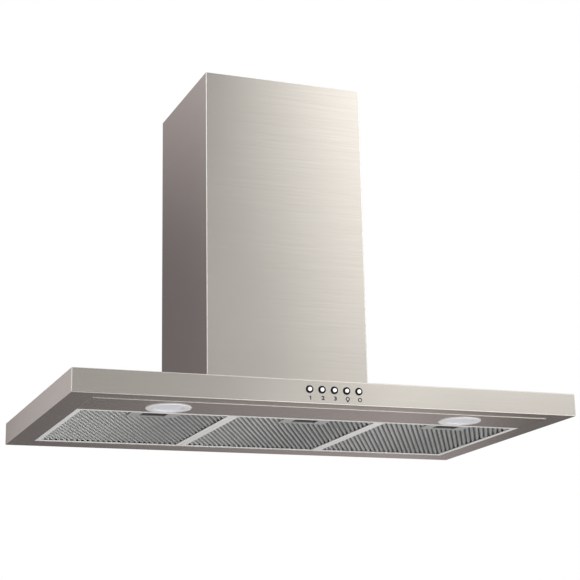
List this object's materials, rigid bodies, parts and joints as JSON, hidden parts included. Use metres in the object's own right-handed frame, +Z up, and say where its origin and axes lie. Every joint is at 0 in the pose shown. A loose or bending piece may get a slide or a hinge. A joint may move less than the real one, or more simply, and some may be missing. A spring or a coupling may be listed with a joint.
{
  "type": "canopy range hood",
  "caption": "Wall-hung canopy range hood with telescopic chimney, push buttons, lamps, drop-down grease filters and a ducted blower.",
  "frame": {"origin": "on the wall plane, at the middle of the canopy's width, level with its underside", "axes": "+X to the right seen from the front, +Y into the wall, +Z up"},
  "size_m": [0.9, 0.5236, 0.6638],
  "materials": {
    "brushed_steel": "satin",
    "zinc_steel": "satin",
    "satin_metal": "satin",
    "cast_metal": "satin",
    "motor_metal": "satin",
    "frosted_glass": "satin",
    "black_gloss": "gloss",
    "button_chrome": "gloss",
    "black_plastic": "matte",
    "white_plastic": "matte",
    "aluminium_frame": "satin",
    "aluminium_mesh": "satin"
  },
  "bodies": {
    "hood": {"canopy_shell": "brushed_steel", "rear_panel": "zinc_steel", "lamp_panel": "brushed_steel", "lamp_panel_clips": "zinc_steel", "lamp_clips": "zinc_steel", "button_bezels": "black_gloss", "switch_block": "black_plastic", "switch_bracket": "zinc_steel", "blower_casing": "zinc_steel", "casing_screws": "zinc_steel", "scroll_housing": "black_plastic", "motor": "motor_metal", "motor_bracket": "zinc_steel", "outlet_collar": "black_plastic", "damper_pin": "zinc_steel", "terminal_box": "black_plastic", "terminal_lid": "black_plastic", "capacitor": "white_plastic", "capacitor_strap": "zinc_steel", "lower_chimney": "brushed_steel", "chimney_base_angles": "zinc_steel", "chimney_screws": "zinc_steel", "lamp_bezel_left": "satin_metal", "lamp_lens_left": "frosted_glass", "lamp_housing_left": "cast_metal", "lamp_bezel_right": "satin_metal", "lamp_lens_right": "frosted_glass", "lamp_housing_right": "cast_metal"},
    "button_1": {"button_1": "button_chrome"},
    "button_2": {"button_2": "button_chrome"},
    "button_3": {"button_3": "button_chrome"},
    "button_light": {"button_light": "button_chrome"},
    "button_off": {"button_off": "button_chrome"},
    "rotor": {"impeller": "black_plastic", "rotor_shaft": "zinc_steel"},
    "flap_left": {"damper_flap_left": "black_plastic"},
    "flap_right": {"damper_flap_right": "black_plastic"},
    "upper_cover": {"upper_chimney": "brushed_steel", "upper_wall_bracket": "zinc_steel", "upper_bracket_screws": "zinc_steel"},
    "filter_left": {"filter_frame_left": "aluminium_frame", "filter_mesh_left": "aluminium_mesh", "filter_handle_left": "aluminium_frame", "latch_spring_left": "zinc_steel"},
    "latch_left": {"filter_latch_left": "black_plastic"},
    "filter_middle": {"filter_frame_middle": "aluminium_frame", "filter_mesh_middle": "aluminium_mesh", "filter_handle_middle": "aluminium_frame", "latch_spring_middle": "zinc_steel"},
    "latch_middle": {"filter_latch_middle": "black_plastic"},
    "filter_right": {"filter_frame_right": "aluminium_frame", "filter_mesh_right": "aluminium_mesh", "filter_handle_right": "aluminium_frame", "latch_spring_right": "zinc_steel"},
    "latch_right": {"filter_latch_right": "black_plastic"}
  },
  "joints": [
    {"name": "button_1_press", "type": "slide", "parent": "hood", "child": "button_1", "axis": [0, 1, 0], "range_m": [0, 0.003], "stiffness_N_per_m": 400, "springref_m": -0.002},
    {"name": "button_2_press", "type": "slide", "parent": "hood", "child": "button_2", "axis": [0, 1, 0], "range_m": [0, 0.003], "stiffness_N_per_m": 400, "springref_m": -0.002},
    {"name": "button_3_press", "type": "slide", "parent": "hood", "child": "button_3", "axis": [0, 1, 0], "range_m": [0, 0.003], "stiffness_N_per_m": 400, "springref_m": -0.002},
    {"name": "button_light_press", "type": "slide", "parent": "hood", "child": "button_light", "axis": [0, 1, 0], "range_m": [0, 0.003], "stiffness_N_per_m": 400, "springref_m": -0.002},
    {"name": "button_off_press", "type": "slide", "parent": "hood", "child": "button_off", "axis": [0, 1, 0], "range_m": [0, 0.003], "stiffness_N_per_m": 400, "springref_m": -0.002},
    {"name": "impeller_spin", "type": "hinge", "parent": "hood", "child": "rotor", "pos_m": [0, -0.152, 0.155], "axis": [1, 0, 0], "continuous": true},
    {"name": "damper_left_swing", "type": "hinge", "parent": "hood", "child": "flap_left", "pos_m": [0, -0.14, 0.322], "axis": [0, 1, 0], "range_deg": [0, 75]},
    {"name": "damper_right_swing", "type": "hinge", "parent": "hood", "child": "flap_right", "pos_m": [0, -0.14, 0.322], "axis": [0, -1, 0], "range_deg": [0, 75]},
    {"name": "upper_cover_slide", "type": "slide", "parent": "hood", "child": "upper_cover", "axis": [0, 0, 1], "range_m": [0, 0.3]},
    {"name": "filter_left_drop", "type": "hinge", "parent": "hood", "child": "filter_left", "pos_m": [-0.2722, -0.0553, 0], "axis": [1, 0, 0], "range_deg": [0, 70]},
    {"name": "latch_left_pull", "type": "slide", "parent": "filter_left", "child": "latch_left", "axis": [0, 1, 0], "range_m": [0, 0.008], "stiffness_N_per_m": 300, "springref_m": -0.004, "deforming": ["latch_spring_left"]},
    {"name": "filter_middle_drop", "type": "hinge", "parent": "hood", "child": "filter_middle", "pos_m": [0, -0.0553, 0], "axis": [1, 0, 0], "range_deg": [0, 70]},
    {"name": "latch_middle_pull", "type": "slide", "parent": "filter_middle", "child": "latch_middle", "axis": [0, 1, 0], "range_m": [0, 0.008], "stiffness_N_per_m": 300, "springref_m": -0.004, "deforming": ["latch_spring_middle"]},
    {"name": "filter_right_drop", "type": "hinge", "parent": "hood", "child": "filter_right", "pos_m": [0.2722, -0.0553, 0], "axis": [1, 0, 0], "range_deg": [0, 70]},
    {"name": "latch_right_pull", "type": "slide", "parent": "filter_right", "child": "latch_right", "axis": [0, 1, 0], "range_m": [0, 0.008], "stiffness_N_per_m": 300, "springref_m": -0.004, "deforming": ["latch_spring_right"]}
  ]
}
